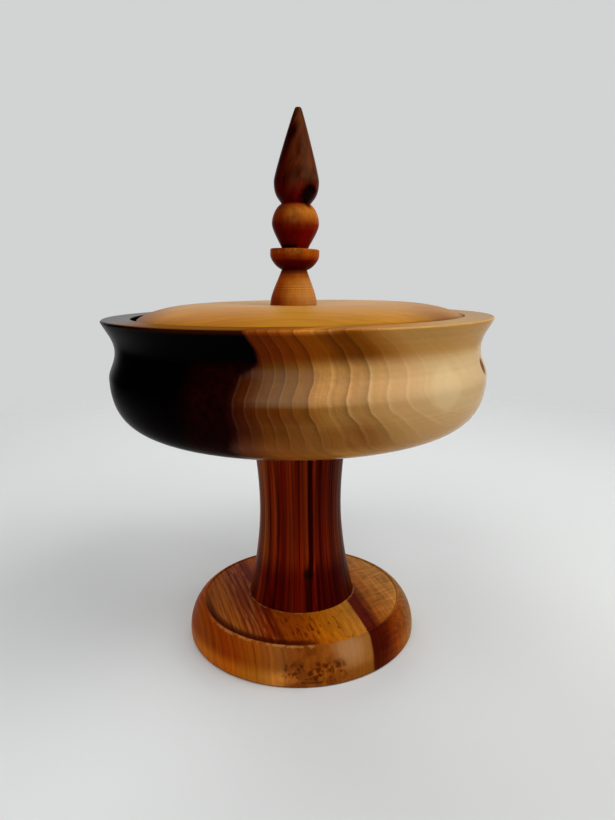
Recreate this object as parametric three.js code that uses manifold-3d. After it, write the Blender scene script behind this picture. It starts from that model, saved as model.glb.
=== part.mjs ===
// Pedestal candy dish, turned from wood: a base, a stem, a bowl and a drop-in lid with a finial.
// Millimetres, +Z up. The origin is the centre of the face it stands on.

import * as THREE from 'three';
import { mergeVertices } from 'three/addons/utils/BufferGeometryUtils.js';
import Module from 'manifold-3d';

const wasm = await Module();
wasm.setup();

// Driving dimensions of the base
const BASE_RADIUS = 81;
const BASE_SEAT_HEIGHT = 26.4;       // where the stem's shoulder stands
const BASE_TOP_FALL = 3.2;           // the top slopes down from the stem to the ring groove
const BASE_GROOVE_INSET = 11.6;      // edge to the middle of the groove
const BASE_GROOVE_DEPTH = 1;
const BASE_GROOVE_HALF_WIDTH = 1.1;
const BASE_EDGE_UPRIGHT = 3.6;       // straight part of the edge, under the roll
const BASE_FOOT_CHAMFER = 1.2;
const BASE_JAW_RECESS_RADIUS = 26;   // shallow recess by which the lathe held it
const BASE_JAW_RECESS_DEPTH = 3;

// Driving dimensions of the stem
const STEM_FOOT_RADIUS = 37.8;
const STEM_WAIST_RADIUS = 28.9;
const STEM_HEAD_RADIUS = 34.2;
const STEM_LOWER_HEIGHT = 65.6;      // foot shoulder to waist
const STEM_UPPER_HEIGHT = 55.4;      // waist to head shoulder
const STEM_FOOT_FLARE = 3.6;
const STEM_HEAD_FLARE = 3.2;
const STEM_LOWER_TENON_RADIUS = 15;
const STEM_LOWER_TENON_LENGTH = 12;
const STEM_UPPER_TENON_RADIUS = 12.5;
const STEM_UPPER_TENON_LENGTH = 10;
const TENON_CHAMFER = 1;

// Driving dimensions of the bowl
const BOWL_RIM_RADIUS = 127;
const BOWL_BELLY_INSET = 3.1;        // belly inside the rim's edge
const BOWL_NECK_INSET = 7.5;         // neck inside the rim's edge
const BOWL_SEAT_RADIUS = 44;         // flat disc that the stem's head meets
const BOWL_BELLY_HEIGHT = 41;        // above the flat underside
const BOWL_SHOULDER_HEIGHT = 17.3;   // belly to neck
const BOWL_FLARE_HEIGHT = 19.2;      // neck to the top of the rim
const BOWL_RIM_CHAMFER = 1.1;
const BOWL_RIM_WIDTH = 18.1;         // level top, from its edge to the rebate
const BOWL_FLOOR_THICKNESS = 16;
const BOWL_FLOOR_RADIUS = 50;
const BOWL_WALL = 11.5;              // at the belly
const BOWL_LEDGE_WIDTH = 7.8;
const BOWL_LEDGE_THICKNESS = 2;      // upright edge before the hollow widens below the ledge
const REBATE_DEPTH = 4.8;

// Driving dimensions of the lid, heights from the ledge that it lies on
const LID_EDGE_HEIGHT = 3.5;
const LID_RISE = 9.1;                // from the top of its edge to its highest ring
const LID_SHOULDER_WIDTH = 44.8;     // from its edge to its highest ring
const LID_DISH = 1.2;                // the middle is slightly lower than the highest ring
const LID_STAND_MARGIN = 0.8;        // level patch left round the finial's foot
const LID_BEARING_WIDTH = 5.5;
const LID_HOLLOW_DEPTH = 3;
const LID_CORNER_CHAMFER = 0.8;

// Driving dimensions of the finial, heights from the foot along its own axis
const FINIAL_FOOT_RADIUS = 15.6;
const FINIAL_CONE_HEIGHT = 22.8;
const FINIAL_CONE_NECK_RADIUS = 8.4;
const FINIAL_CUP_RADIUS = 16.2;
const FINIAL_CUP_HEIGHT = 13.3;
const FINIAL_CUP_LIP = 3.8;
const FINIAL_CUP_CHAMFER = 0.6;
const FINIAL_BALL_SEAT_RADIUS = 8.6;
const FINIAL_BALL_RADIUS = 15.4;
const FINIAL_BALL_LOWER = 15.9;      // cup's top to the ball's widest point
const FINIAL_BALL_UPPER = 12.3;      // widest point to the neck above it
const FINIAL_FLAME_NECK_RADIUS = 9.4;
const FINIAL_FLAME_RADIUS = 14.6;
const FINIAL_FLAME_LOWER = 13.9;
const FINIAL_FLAME_UPPER = 44.6;
const FINIAL_TIP_RADIUS = 2.2;
const FINIAL_TIP_ROUND = 1.2;
const FINIAL_TENON_RADIUS = 6;
const FINIAL_TENON_LENGTH = 6;
const FINIAL_OFF_CENTRE = 4.5;       // glued in a little left of the lid's centre
const FINIAL_LEAN = 2.14;            // degrees to the right, as it was glued

// Clearances
const GLUE_GAP = 0.3;                // round and under each tenon, and under the finial
const LID_CLEARANCE = 2.1;           // lid edge to rebate wall, all round when centred
const LID_NEAR_GAP = 0.5;            // what is left on the right, where it has slid over

// How far each curve keeps its first or last direction, as a share of what it spans
const BASE_CURVE = { edge: 0.51, groove: 0.44 };
const STEM_CURVE = { foot: 0.2, belowWaist: 0.37, aboveWaist: 0.36, head: 0.27 };
const BELLY_CURVE = { underside: 0.69, below: 0.88, above: 0.3 };
const NECK_CURVE = { below: 0.46, above: 0.38 };
const RIM_CURVE = { below: 0.33, flare: 0.4 };
const HOLLOW_CURVE = { ledge: 0.3, aboveBelly: 0.45, belowBelly: 0.75, floor: 0.67 };
const LID_CURVE = { edge: 0.28, shoulder: 0.65, dish: 0.4 };
const LID_HOLLOW_CURVE = { middle: 0.5, rim: 0.2, rimRise: 0.6 };
const CONE_CURVE = { foot: 0.3, neckSpread: 1.3, neck: 0.33 };
const CUP_CURVE = { spread: 0.77, rise: 0.15, edge: 0.32 };
const BALL_CURVE = { seat: 0.1, belowMiddle: 0.3, aboveMiddle: 0.34, neckSpread: 1.4, neck: 0.18 };
const FLAME_CURVE = { neckSpread: 1.24, neck: 0.25, belowMiddle: 0.65, aboveMiddle: 0.09 };
const TIP_CURVE = { spread: 1.6, below: 0.08 };

// Fineness of the turned surfaces
const WIDE_SEGMENTS = 60;
const STEM_SEGMENTS = 48;
const FINIAL_SEGMENTS = 32;
const WIDE_STEP = 11;                // along the outline
const FINIAL_STEP = 3.2;
const LEAST_STEPS = 4;
const MERGE_DISTANCE = 1e-4;

// Sizes worked out from the ones above
const STEM_LENGTH = STEM_LOWER_HEIGHT + STEM_UPPER_HEIGHT;
const BOWL_BELLY_RADIUS = BOWL_RIM_RADIUS - BOWL_BELLY_INSET;
const BOWL_NECK_HEIGHT = BOWL_BELLY_HEIGHT + BOWL_SHOULDER_HEIGHT;
const BOWL_HEIGHT = BOWL_NECK_HEIGHT + BOWL_FLARE_HEIGHT;
const REBATE_RADIUS = BOWL_RIM_RADIUS - BOWL_RIM_WIDTH;
const LEDGE_HEIGHT = BOWL_HEIGHT - REBATE_DEPTH;
const LEDGE_INNER_RADIUS = REBATE_RADIUS - BOWL_LEDGE_WIDTH;
const LID_RADIUS = REBATE_RADIUS - LID_CLEARANCE;
const LID_SHIFT = LID_CLEARANCE - LID_NEAR_GAP;
const LID_CREST_RADIUS = LID_RADIUS - LID_SHOULDER_WIDTH;
const LID_CREST = LID_EDGE_HEIGHT + LID_RISE;
const LID_STAND = LID_CREST - LID_DISH;
const LID_STAND_RADIUS = FINIAL_FOOT_RADIUS + FINIAL_OFF_CENTRE + LID_STAND_MARGIN;
const LEAN_ANGLE = THREE.MathUtils.degToRad(FINIAL_LEAN);

// Points along an outline: the ends of straight parts, and even steps along each curve.
function outlinePoints(outline, step) {
  const points = [outline.curves[0].getPoint(0)];
  for (const curve of outline.curves) {
    const steps = curve.isLineCurve ? 1 : Math.max(LEAST_STEPS, Math.ceil(curve.getLength() / step));
    points.push(...curve.getPoints(steps).slice(1));
  }
  return points;
}

// A closed solid of revolution about Z. The outline runs up the outside, from axis to axis.
function turned(outline, segments, step) {
  const geometry = new THREE.LatheGeometry(outlinePoints(outline, step), segments);
  geometry.rotateX(Math.PI / 2);
  return geometry;
}

function toSolid(geometry) {
  const bare = geometry.clone();
  bare.deleteAttribute('normal');
  bare.deleteAttribute('uv');
  const merged = mergeVertices(bare, MERGE_DISTANCE);
  return new wasm.Manifold(new wasm.Mesh({
    numProp: 3,
    vertProperties: new Float32Array(merged.attributes.position.array),
    triVerts: new Uint32Array(merged.index.array),
  }));
}

function toGeometry(solid) {
  const mesh = solid.getMesh();
  const geometry = new THREE.BufferGeometry();
  geometry.setAttribute('position', new THREE.BufferAttribute(mesh.vertProperties, 3));
  geometry.setIndex(new THREE.BufferAttribute(mesh.triVerts, 1));
  geometry.computeVertexNormals();
  return geometry;
}

function piece(name, geometry, colour, roughness) {
  const material = new THREE.MeshStandardMaterial({ color: colour, roughness, metalness: 0 });
  const mesh = new THREE.Mesh(geometry, material);
  mesh.name = name;
  return mesh;
}

// A thick disc with a rolled edge, a ring groove on top and a blind mortise for the stem.
function makeBase() {
  const mortiseRadius = STEM_LOWER_TENON_RADIUS + GLUE_GAP;
  const mortiseFloor = BASE_SEAT_HEIGHT - STEM_LOWER_TENON_LENGTH - GLUE_GAP;
  const grooveTop = BASE_SEAT_HEIGHT - BASE_TOP_FALL;
  const grooveFloor = grooveTop - BASE_GROOVE_DEPTH;
  const grooveMiddle = BASE_RADIUS - BASE_GROOVE_INSET;
  const rollStart = grooveMiddle + BASE_GROOVE_HALF_WIDTH;
  const rollWidth = BASE_RADIUS - rollStart;
  const rollHeight = grooveTop - BASE_EDGE_UPRIGHT;

  const outline = new THREE.Path();
  outline.moveTo(0, BASE_JAW_RECESS_DEPTH);
  outline.lineTo(BASE_JAW_RECESS_RADIUS, BASE_JAW_RECESS_DEPTH);
  outline.lineTo(BASE_JAW_RECESS_RADIUS, 0);
  outline.lineTo(BASE_RADIUS - BASE_FOOT_CHAMFER, 0);
  outline.lineTo(BASE_RADIUS, BASE_FOOT_CHAMFER);
  outline.lineTo(BASE_RADIUS, BASE_EDGE_UPRIGHT);
  outline.bezierCurveTo(
    BASE_RADIUS, BASE_EDGE_UPRIGHT + rollHeight * BASE_CURVE.edge,
    rollStart + rollWidth * BASE_CURVE.groove, grooveFloor,
    rollStart, grooveTop,
  );
  outline.lineTo(grooveMiddle, grooveFloor);
  outline.lineTo(grooveMiddle - BASE_GROOVE_HALF_WIDTH, grooveTop);
  outline.lineTo(STEM_FOOT_RADIUS, BASE_SEAT_HEIGHT);
  outline.lineTo(mortiseRadius, BASE_SEAT_HEIGHT);
  outline.lineTo(mortiseRadius, mortiseFloor);
  outline.lineTo(0, mortiseFloor);
  return turned(outline, WIDE_SEGMENTS, WIDE_STEP);
}

// A waisted column with a chamfered tenon at each end. Heights are from its foot shoulder.
function makeStem() {
  const lowerEnd = -STEM_LOWER_TENON_LENGTH;
  const upperEnd = STEM_LENGTH + STEM_UPPER_TENON_LENGTH;

  const outline = new THREE.Path();
  outline.moveTo(0, lowerEnd);
  outline.lineTo(STEM_LOWER_TENON_RADIUS - TENON_CHAMFER, lowerEnd);
  outline.lineTo(STEM_LOWER_TENON_RADIUS, lowerEnd + TENON_CHAMFER);
  outline.lineTo(STEM_LOWER_TENON_RADIUS, 0);
  outline.lineTo(STEM_FOOT_RADIUS, 0);
  outline.bezierCurveTo(
    STEM_FOOT_RADIUS - STEM_FOOT_FLARE, STEM_LOWER_HEIGHT * STEM_CURVE.foot,
    STEM_WAIST_RADIUS, STEM_LOWER_HEIGHT * (1 - STEM_CURVE.belowWaist),
    STEM_WAIST_RADIUS, STEM_LOWER_HEIGHT,
  );
  outline.bezierCurveTo(
    STEM_WAIST_RADIUS, STEM_LOWER_HEIGHT + STEM_UPPER_HEIGHT * STEM_CURVE.aboveWaist,
    STEM_HEAD_RADIUS - STEM_HEAD_FLARE, STEM_LENGTH - STEM_UPPER_HEIGHT * STEM_CURVE.head,
    STEM_HEAD_RADIUS, STEM_LENGTH,
  );
  outline.lineTo(STEM_UPPER_TENON_RADIUS, STEM_LENGTH);
  outline.lineTo(STEM_UPPER_TENON_RADIUS, upperEnd - TENON_CHAMFER);
  outline.lineTo(STEM_UPPER_TENON_RADIUS - TENON_CHAMFER, upperEnd);
  outline.lineTo(0, upperEnd);
  return turned(outline, STEM_SEGMENTS, WIDE_STEP);
}

// The outside of the bowl: level seat, full belly, drawn-in neck and flared rim.
function addBowlOutside(outline) {
  const neckRadius = BOWL_RIM_RADIUS - BOWL_NECK_INSET;
  const rimLow = BOWL_HEIGHT - BOWL_RIM_CHAMFER;
  const flare = rimLow - BOWL_NECK_HEIGHT;
  const undersideWidth = BOWL_BELLY_RADIUS - BOWL_SEAT_RADIUS;
  outline.lineTo(BOWL_SEAT_RADIUS, 0);
  outline.bezierCurveTo(
    BOWL_SEAT_RADIUS + undersideWidth * BELLY_CURVE.underside, 0,
    BOWL_BELLY_RADIUS, BOWL_BELLY_HEIGHT * (1 - BELLY_CURVE.below),
    BOWL_BELLY_RADIUS, BOWL_BELLY_HEIGHT,
  );
  outline.bezierCurveTo(
    BOWL_BELLY_RADIUS, BOWL_BELLY_HEIGHT + BOWL_SHOULDER_HEIGHT * BELLY_CURVE.above,
    neckRadius, BOWL_NECK_HEIGHT - BOWL_SHOULDER_HEIGHT * NECK_CURVE.below,
    neckRadius, BOWL_NECK_HEIGHT,
  );
  outline.bezierCurveTo(
    neckRadius, BOWL_NECK_HEIGHT + flare * NECK_CURVE.above,
    BOWL_RIM_RADIUS - BOWL_NECK_INSET * RIM_CURVE.flare, rimLow - flare * RIM_CURVE.below,
    BOWL_RIM_RADIUS, rimLow,
  );
  outline.lineTo(BOWL_RIM_RADIUS - BOWL_RIM_CHAMFER, BOWL_HEIGHT);
}

// The inside: the rebate that takes the lid, its ledge, and the hollow undercut below the ledge.
function addBowlInside(outline) {
  const insideBelly = BOWL_BELLY_RADIUS - BOWL_WALL;
  const ledgeBottom = LEDGE_HEIGHT - BOWL_LEDGE_THICKNESS;
  const undercut = ledgeBottom - BOWL_BELLY_HEIGHT;
  const hollow = BOWL_BELLY_HEIGHT - BOWL_FLOOR_THICKNESS;
  const spread = insideBelly - BOWL_FLOOR_RADIUS;
  outline.lineTo(REBATE_RADIUS, BOWL_HEIGHT);
  outline.lineTo(REBATE_RADIUS, LEDGE_HEIGHT);
  outline.lineTo(LEDGE_INNER_RADIUS, LEDGE_HEIGHT);
  outline.lineTo(LEDGE_INNER_RADIUS, ledgeBottom);
  outline.bezierCurveTo(
    LEDGE_INNER_RADIUS, ledgeBottom - undercut * HOLLOW_CURVE.ledge,
    insideBelly, BOWL_BELLY_HEIGHT + undercut * HOLLOW_CURVE.aboveBelly,
    insideBelly, BOWL_BELLY_HEIGHT,
  );
  outline.bezierCurveTo(
    insideBelly, BOWL_BELLY_HEIGHT - hollow * HOLLOW_CURVE.belowBelly,
    BOWL_FLOOR_RADIUS + spread * HOLLOW_CURVE.floor, BOWL_FLOOR_THICKNESS,
    BOWL_FLOOR_RADIUS, BOWL_FLOOR_THICKNESS,
  );
  outline.lineTo(0, BOWL_FLOOR_THICKNESS);
}

function makeBowl() {
  const mortiseRadius = STEM_UPPER_TENON_RADIUS + GLUE_GAP;
  const mortiseRoof = STEM_UPPER_TENON_LENGTH + GLUE_GAP;
  const outline = new THREE.Path();
  outline.moveTo(0, mortiseRoof);
  outline.lineTo(mortiseRadius, mortiseRoof);
  outline.lineTo(mortiseRadius, 0);
  addBowlOutside(outline);
  addBowlInside(outline);
  return turned(outline, WIDE_SEGMENTS, WIDE_STEP);
}

// Where the finial's own frame sits on the lid: off centre, on its level patch, and leaning.
function finialPlacement() {
  const placement = new THREE.Matrix4().makeRotationY(LEAN_ANGLE);
  return placement.setPosition(-FINIAL_OFF_CENTRE, 0, LID_STAND);
}

// A plain round bar about Z, for the finial's tenon and for the mortise that holds it.
function roundBar(radius, bottom, top) {
  const outline = new THREE.Path();
  outline.moveTo(0, bottom);
  outline.lineTo(radius, bottom);
  outline.lineTo(radius, top);
  outline.lineTo(0, top);
  return turned(outline, FINIAL_SEGMENTS, FINIAL_STEP);
}

// A disc with a rounded shoulder and a slightly dished top, hollowed below. Its mortise leans with
// the finial.
function makeLid() {
  const bearing = LID_RADIUS - LID_BEARING_WIDTH;
  const dishEase = (LID_CREST_RADIUS - LID_STAND_RADIUS) * LID_CURVE.dish;
  const outline = new THREE.Path();
  outline.moveTo(0, LID_HOLLOW_DEPTH);
  outline.bezierCurveTo(
    bearing * LID_HOLLOW_CURVE.middle, LID_HOLLOW_DEPTH,
    bearing * (1 - LID_HOLLOW_CURVE.rim), LID_HOLLOW_DEPTH * LID_HOLLOW_CURVE.rimRise,
    bearing, 0,
  );
  outline.lineTo(LID_RADIUS - LID_CORNER_CHAMFER, 0);
  outline.lineTo(LID_RADIUS, LID_CORNER_CHAMFER);
  outline.lineTo(LID_RADIUS, LID_EDGE_HEIGHT);
  outline.bezierCurveTo(
    LID_RADIUS - LID_RISE * LID_CURVE.edge, LID_EDGE_HEIGHT + LID_RISE * LID_CURVE.edge,
    LID_CREST_RADIUS + LID_SHOULDER_WIDTH * LID_CURVE.shoulder, LID_CREST,
    LID_CREST_RADIUS, LID_CREST,
  );
  outline.bezierCurveTo(
    LID_CREST_RADIUS - dishEase, LID_CREST,
    LID_STAND_RADIUS + dishEase, LID_STAND,
    LID_STAND_RADIUS, LID_STAND,
  );
  outline.lineTo(0, LID_STAND);

  const mortise = roundBar(
    FINIAL_TENON_RADIUS + GLUE_GAP,
    -FINIAL_TENON_LENGTH - GLUE_GAP,
    LID_STAND,
  ).applyMatrix4(finialPlacement());
  const disc = turned(outline, WIDE_SEGMENTS, WIDE_STEP);
  return toGeometry(toSolid(disc).subtract(toSolid(mortise)));
}

// Cone foot, cup, ball and flame, turned in one. Heights are along its own axis.
function finialOutline(footLength) {
  const cupTop = FINIAL_CONE_HEIGHT + FINIAL_CUP_HEIGHT;
  const cupEdge = cupTop - FINIAL_CUP_LIP;
  const cupBulge = FINIAL_CUP_HEIGHT - FINIAL_CUP_LIP;
  const ballMiddle = cupTop + FINIAL_BALL_LOWER;
  const flameNeck = ballMiddle + FINIAL_BALL_UPPER;
  const flameMiddle = flameNeck + FINIAL_FLAME_LOWER;
  const tip = flameMiddle + FINIAL_FLAME_UPPER;

  const outline = new THREE.Path();
  outline.moveTo(0, -footLength);
  outline.lineTo(FINIAL_FOOT_RADIUS, -footLength);
  outline.lineTo(FINIAL_FOOT_RADIUS, 0);
  outline.bezierCurveTo(
    FINIAL_FOOT_RADIUS, FINIAL_CONE_HEIGHT * CONE_CURVE.foot,
    FINIAL_CONE_NECK_RADIUS * CONE_CURVE.neckSpread, FINIAL_CONE_HEIGHT * (1 - CONE_CURVE.neck),
    FINIAL_CONE_NECK_RADIUS, FINIAL_CONE_HEIGHT,
  );
  outline.bezierCurveTo(
    FINIAL_CUP_RADIUS * CUP_CURVE.spread, FINIAL_CONE_HEIGHT + cupBulge * CUP_CURVE.rise,
    FINIAL_CUP_RADIUS, cupEdge - cupBulge * CUP_CURVE.edge,
    FINIAL_CUP_RADIUS, cupEdge,
  );
  outline.lineTo(FINIAL_CUP_RADIUS, cupTop - FINIAL_CUP_CHAMFER);
  outline.lineTo(FINIAL_CUP_RADIUS - FINIAL_CUP_CHAMFER, cupTop);
  outline.lineTo(FINIAL_BALL_SEAT_RADIUS, cupTop);
  outline.bezierCurveTo(
    FINIAL_BALL_SEAT_RADIUS, cupTop + FINIAL_BALL_LOWER * BALL_CURVE.seat,
    FINIAL_BALL_RADIUS, ballMiddle - FINIAL_BALL_LOWER * BALL_CURVE.belowMiddle,
    FINIAL_BALL_RADIUS, ballMiddle,
  );
  outline.bezierCurveTo(
    FINIAL_BALL_RADIUS, ballMiddle + FINIAL_BALL_UPPER * BALL_CURVE.aboveMiddle,
    FINIAL_FLAME_NECK_RADIUS * BALL_CURVE.neckSpread, flameNeck - FINIAL_BALL_UPPER * BALL_CURVE.neck,
    FINIAL_FLAME_NECK_RADIUS, flameNeck,
  );
  outline.bezierCurveTo(
    FINIAL_FLAME_NECK_RADIUS * FLAME_CURVE.neckSpread, flameNeck + FINIAL_FLAME_LOWER * FLAME_CURVE.neck,
    FINIAL_FLAME_RADIUS, flameMiddle - FINIAL_FLAME_LOWER * FLAME_CURVE.belowMiddle,
    FINIAL_FLAME_RADIUS, flameMiddle,
  );
  outline.bezierCurveTo(
    FINIAL_FLAME_RADIUS, flameMiddle + FINIAL_FLAME_UPPER * FLAME_CURVE.aboveMiddle,
    FINIAL_TIP_RADIUS * TIP_CURVE.spread, tip - FINIAL_FLAME_UPPER * TIP_CURVE.below,
    FINIAL_TIP_RADIUS, tip - FINIAL_TIP_ROUND,
  );
  outline.quadraticCurveTo(FINIAL_TIP_RADIUS, tip, 0, tip);
  return outline;
}

// The foot is turned long, then sawn level with the lid, and the tenon stands below it.
function makeFinial() {
  const sawWander = FINIAL_FOOT_RADIUS * Math.tan(LEAN_ANGLE);
  const footLength = 2 * sawWander + GLUE_GAP;
  const wasteSize = 4 * FINIAL_FOOT_RADIUS;
  const waste = new THREE.BoxGeometry(wasteSize, wasteSize, wasteSize);
  waste.translate(0, 0, GLUE_GAP - wasteSize / 2);
  waste.applyMatrix4(new THREE.Matrix4().makeRotationY(-LEAN_ANGLE));

  const turning = toSolid(turned(finialOutline(footLength), FINIAL_SEGMENTS, FINIAL_STEP));
  const tenon = toSolid(roundBar(FINIAL_TENON_RADIUS, -FINIAL_TENON_LENGTH, FINIAL_CONE_HEIGHT / 2));
  return toGeometry(turning.subtract(toSolid(waste)).add(tenon));
}

// The assembly, each piece with the main colour and sheen of its oiled wood
const base = piece('base', makeBase(), '#9a5a24', 0.42);
const stem = piece('stem', makeStem(), '#5c1f0c', 0.4);
const bowl = piece('bowl', makeBowl(), '#a87a48', 0.38);
const lid = piece('lid', makeLid(), '#b97a33', 0.42);
const finial = piece('finial', makeFinial(), '#7a3a18', 0.42);

stem.position.z = BASE_SEAT_HEIGHT;
bowl.position.z = BASE_SEAT_HEIGHT + STEM_LENGTH;

const cover = new THREE.Group();
cover.name = 'cover';
cover.position.set(LID_SHIFT, 0, bowl.position.z + LEDGE_HEIGHT);
finial.applyMatrix4(finialPlacement());
cover.add(lid, finial);

const dish = new THREE.Group();
dish.name = 'pedestal_candy_dish';
dish.add(base, stem, bowl, cover);

export default dish;
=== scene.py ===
import math

import bpy
import numpy as np
from mathutils import Matrix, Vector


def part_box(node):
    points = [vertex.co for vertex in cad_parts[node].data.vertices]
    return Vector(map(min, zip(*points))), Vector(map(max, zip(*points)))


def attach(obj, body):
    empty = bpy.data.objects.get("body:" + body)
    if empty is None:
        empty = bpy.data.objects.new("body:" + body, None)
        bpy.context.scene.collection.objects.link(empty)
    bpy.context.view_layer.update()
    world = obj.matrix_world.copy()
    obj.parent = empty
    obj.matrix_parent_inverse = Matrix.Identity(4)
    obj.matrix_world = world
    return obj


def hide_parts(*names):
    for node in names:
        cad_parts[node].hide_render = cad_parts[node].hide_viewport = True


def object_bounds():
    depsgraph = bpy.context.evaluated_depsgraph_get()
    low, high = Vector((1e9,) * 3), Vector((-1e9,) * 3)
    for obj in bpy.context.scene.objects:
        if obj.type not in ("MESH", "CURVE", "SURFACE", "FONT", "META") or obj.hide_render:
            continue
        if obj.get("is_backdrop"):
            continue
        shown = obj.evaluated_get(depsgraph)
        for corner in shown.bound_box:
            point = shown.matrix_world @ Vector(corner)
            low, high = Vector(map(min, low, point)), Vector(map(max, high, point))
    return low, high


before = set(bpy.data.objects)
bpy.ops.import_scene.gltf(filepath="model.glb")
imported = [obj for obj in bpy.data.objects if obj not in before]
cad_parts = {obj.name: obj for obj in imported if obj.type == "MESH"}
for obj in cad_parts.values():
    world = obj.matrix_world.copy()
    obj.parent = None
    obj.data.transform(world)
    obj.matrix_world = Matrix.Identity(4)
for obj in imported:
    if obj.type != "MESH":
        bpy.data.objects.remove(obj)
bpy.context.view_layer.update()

# A pedestal candy dish, turned from walnut and fruitwood: base, stem, bowl, lid and finial. Blender
# works in metres; outlines and patterns are in millimetres, and +Z is up the axis of the stem.
MM = 0.001


# Base: a thick disc of walnut with a rolled edge, a ring groove on its top and a blind mortise that
# the stem's lower tenon is glued into. Sapwood crosses its front as a honey band with a dark band
# beside it. Turned face up, sanded, oiled to a satin sheen.
BASE_JAW_RECESS = (26, 3)            # radius and depth of the recess underneath
BASE_FOOT_CHAMFER = 1.2
BASE_EDGE_UPRIGHT = 3.6
BASE_TOP_FALL = 3.2                  # from the stem's seat down to the groove
BASE_GROOVE_INSET = 11.6             # from the edge
BASE_GROOVE_DEPTH = 1
BASE_GROOVE_HALF_WIDTH = 1.1
STEM_FOOT_RADIUS = 37.8
BASE_MORTISE = (15.3, 12.3)          # radius and depth


def curve(start, lead, trail, end, count=64):
    """A cubic curve: its four points weighted by (1-t)^3, 3t(1-t)^2, 3t^2(1-t) and t^3. It leaves the
    start towards the lead, and reaches the end from the trail."""
    t = np.linspace(0, 1, count)[:, None]
    start, lead, trail, end = map(np.array, (start, lead, trail, end))
    return (1 - t) ** 3 * start + 3 * t * (1 - t) ** 2 * lead + 3 * t**2 * (1 - t) * trail + t**3 * end


def outline(*steps, edge=0.35, spacing=1.4):
    """Radius and height along the steps. A point is reached by a straight line, an array of points is
    followed. Each stretch is cut back by the edge at its corners, and a quadratic arc, weighted by
    (1-t)^2, 2t(1-t) and t^2, leads round each corner to the next stretch."""
    stretches = []
    end = np.array(steps[0], float)
    for step in steps[1:]:
        reached = np.atleast_2d(np.array(step, float))
        stretches.append(reached if len(reached) > 1 else np.vstack([end, reached]))
        end = reached[-1]

    profile = []
    t = np.linspace(0, 1, 6)[1:-1, None]
    for number, stretch in enumerate(stretches):
        walked = np.r_[0, np.cumsum(np.linalg.norm(np.diff(stretch, axis=0), axis=1))]
        cut = min(edge, 0.3 * walked[-1])
        low = cut if number > 0 else 0
        high = walked[-1] - (cut if number < len(stretches) - 1 else 0)
        count = max(2, math.ceil((high - low) / spacing) + 1)
        at = np.unique(np.r_[np.linspace(low, high, count), low + cut, high - cut].clip(low, high))
        kept = np.column_stack([np.interp(at, walked, stretch[:, axis]) for axis in (0, 1)])
        if profile:
            corner = stretch[0]
            profile.append((1 - t) ** 2 * profile[-1][-1] + 2 * t * (1 - t) * corner + t**2 * kept[0])
        profile.append(kept)
    return np.vstack(profile)


def turned(name, profile, segments, shape=None):
    """A surface of revolution with closed poles: the point of the profile at radius r and height z,
    turned by angle a, lies at (r cos a, r sin a, z). shape may then move the rings and the poles."""
    angle = np.arange(segments) * 2 * math.pi / segments
    radius = profile[1:-1, :1]
    height = profile[1:-1, 1:]
    rings = np.stack([radius * np.cos(angle), radius * np.sin(angle), height + 0 * angle], axis=-1)
    poles = np.array([[0, 0, profile[0, 1]], [0, 0, profile[-1, 1]]])
    if shape:
        rings, poles = shape(rings, poles)

    points = np.vstack([poles[:1], rings.reshape(-1, 3), poles[1:]]) * MM
    here = 1 + np.arange(rings.shape[0] * segments).reshape(-1, segments)
    beside = np.roll(here, -1, axis=1)
    walls = np.stack([here[:-1], beside[:-1], beside[1:], here[1:]], axis=-1).reshape(-1, 4)
    first = np.stack([0 * here[0], beside[0], here[0]], axis=-1)
    last = np.stack([here[-1], beside[-1], 0 * here[-1] + len(points) - 1], axis=-1)

    mesh = bpy.data.meshes.new(name)
    mesh.from_pydata(points.tolist(), [], walls.tolist() + first.tolist() + last.tolist())
    mesh.shade_smooth()
    piece = bpy.data.objects.new(name, mesh)
    bpy.context.scene.collection.objects.link(piece)
    return piece


def paint(code):
    """A colour written #rrggbb, as the linear values that a socket takes."""
    shares = [int(code[at:at + 2], 16) / 255 for at in (1, 3, 5)]
    return [((s + 0.055) / 1.055) ** 2.4 if s > 0.04045 else s / 12.92 for s in shares] + [1]


class Wire:
    """A socket among nodes. A sum written with it adds the Math node that works the sum out."""

    def __init__(self, nodes, socket):
        self.nodes = nodes
        self.socket = socket

    def __add__(self, other):
        return self.nodes.math("ADD", self, other)

    def __sub__(self, other):
        return self.nodes.math("SUBTRACT", self, other)

    def __rsub__(self, other):
        return self.nodes.math("SUBTRACT", other, self)

    def __mul__(self, other):
        return self.nodes.math("MULTIPLY", self, other)

    def __truediv__(self, other):
        return self.nodes.math("DIVIDE", self, other)

    def __pow__(self, other):
        return self.nodes.math("POWER", self, other)

    __radd__ = __add__
    __rmul__ = __mul__

    def rise(self, low, high):
        """0 up to low, 1 from high on and a smooth rise between. It falls if low is the larger."""
        limits = {"Value": self, "From Min": low, "From Max": high}
        return self.nodes.node("ShaderNodeMapRange", {"interpolation_type": "SMOOTHSTEP"}, limits)

    def band(self, start, full, fade, end):
        """A smooth rise from start to full, 1 up to fade, and a smooth fall to the end."""
        return self.rise(start, full) * self.rise(end, fade)


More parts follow.
